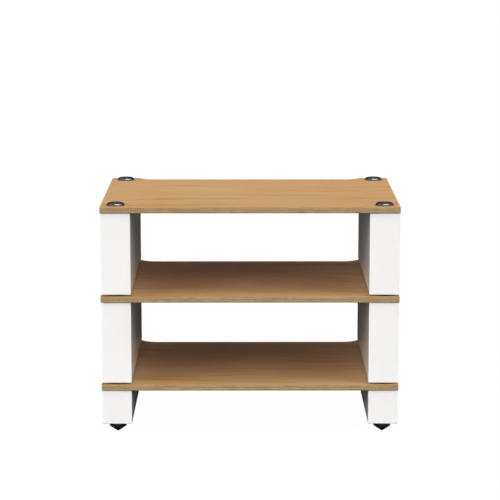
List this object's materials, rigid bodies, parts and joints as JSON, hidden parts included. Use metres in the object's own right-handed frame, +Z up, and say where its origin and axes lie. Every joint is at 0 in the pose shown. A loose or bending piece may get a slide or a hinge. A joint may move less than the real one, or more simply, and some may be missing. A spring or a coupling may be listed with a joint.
{
  "type": "audio equipment rack",
  "caption": "Low open hi-fi rack of stackable tiers: thin wood shelves on white block side supports, with cable recesses at the rear, coupling cups on top and levelling spikes below.",
  "frame": {"origin": "On the floor, under the middle of the rack: the middle of the bottom of its bounding box.", "axes": "+X to the right along the shelves, +Y to the rear where the cable recesses are, +Z up. The front faces -Y."},
  "size_m": [0.6, 0.415, 0.471],
  "materials": {
    "veneered_ply": "oak-veneered plywood, satin lacquer",
    "white_lacquer": "white satin lacquer on solid fibreboard",
    "black_chrome": "turned steel, polished black chrome",
    "zinc": "zinc-plated threaded sleeve"
  },
  "bodies": {
    "base_tier": {"base_shelf": "veneered_ply", "base_support_left": "white_lacquer", "base_support_right": "white_lacquer", "base_cup_front_left": "black_chrome", "base_cup_front_right": "black_chrome", "base_cup_rear_left": "black_chrome", "base_cup_rear_right": "black_chrome", "base_upper_insert_front_left": "zinc", "base_upper_insert_front_right": "zinc", "base_upper_insert_rear_left": "zinc", "base_upper_insert_rear_right": "zinc", "base_lower_insert_front_left": "zinc", "base_lower_insert_front_right": "zinc", "base_lower_insert_rear_left": "zinc", "base_lower_insert_rear_right": "zinc"},
    "middle_tier": {"middle_shelf": "veneered_ply", "middle_support_left": "white_lacquer", "middle_support_right": "white_lacquer", "middle_cup_front_left": "black_chrome", "middle_cup_front_right": "black_chrome", "middle_cup_rear_left": "black_chrome", "middle_cup_rear_right": "black_chrome", "middle_upper_insert_front_left": "zinc", "middle_upper_insert_front_right": "zinc", "middle_upper_insert_rear_left": "zinc", "middle_upper_insert_rear_right": "zinc", "middle_lower_insert_front_left": "zinc", "middle_lower_insert_front_right": "zinc", "middle_lower_insert_rear_left": "zinc", "middle_lower_insert_rear_right": "zinc", "middle_spike_front_left": "black_chrome", "middle_spike_front_right": "black_chrome", "middle_spike_rear_left": "black_chrome", "middle_spike_rear_right": "black_chrome"},
    "top_tier": {"top_shelf": "veneered_ply", "top_support_left": "white_lacquer", "top_support_right": "white_lacquer", "top_cup_front_left": "black_chrome", "top_cup_front_right": "black_chrome", "top_cup_rear_left": "black_chrome", "top_cup_rear_right": "black_chrome", "top_upper_insert_front_left": "zinc", "top_upper_insert_front_right": "zinc", "top_upper_insert_rear_left": "zinc", "top_upper_insert_rear_right": "zinc", "top_lower_insert_front_left": "zinc", "top_lower_insert_front_right": "zinc", "top_lower_insert_rear_left": "zinc", "top_lower_insert_rear_right": "zinc", "top_spike_front_left": "black_chrome", "top_spike_front_right": "black_chrome", "top_spike_rear_left": "black_chrome", "top_spike_rear_right": "black_chrome"},
    "floor_spike_body_front_left": {"floor_spike_front_left": "black_chrome"},
    "floor_spike_body_front_right": {"floor_spike_front_right": "black_chrome"},
    "floor_spike_body_rear_left": {"floor_spike_rear_left": "black_chrome"},
    "floor_spike_body_rear_right": {"floor_spike_rear_right": "black_chrome"}
  },
  "joints": [
    {"name": "middle_tier_lift", "type": "slide", "parent": "base_tier", "child": "middle_tier", "axis": [0, 0, 1], "range_m": [0, 0.06]},
    {"name": "top_tier_lift", "type": "slide", "parent": "middle_tier", "child": "top_tier", "axis": [0, 0, 1], "range_m": [0, 0.06]},
    {"name": "floor_spike_levelling_front_left", "type": "slide", "parent": "base_tier", "child": "floor_spike_body_front_left", "axis": [0, 0, -1], "range_m": [0, 0.008]},
    {"name": "floor_spike_levelling_front_right", "type": "slide", "parent": "base_tier", "child": "floor_spike_body_front_right", "axis": [0, 0, -1], "range_m": [0, 0.008]},
    {"name": "floor_spike_levelling_rear_left", "type": "slide", "parent": "base_tier", "child": "floor_spike_body_rear_left", "axis": [0, 0, -1], "range_m": [0, 0.008]},
    {"name": "floor_spike_levelling_rear_right", "type": "slide", "parent": "base_tier", "child": "floor_spike_body_rear_right", "axis": [0, 0, -1], "range_m": [0, 0.008]}
  ]
}
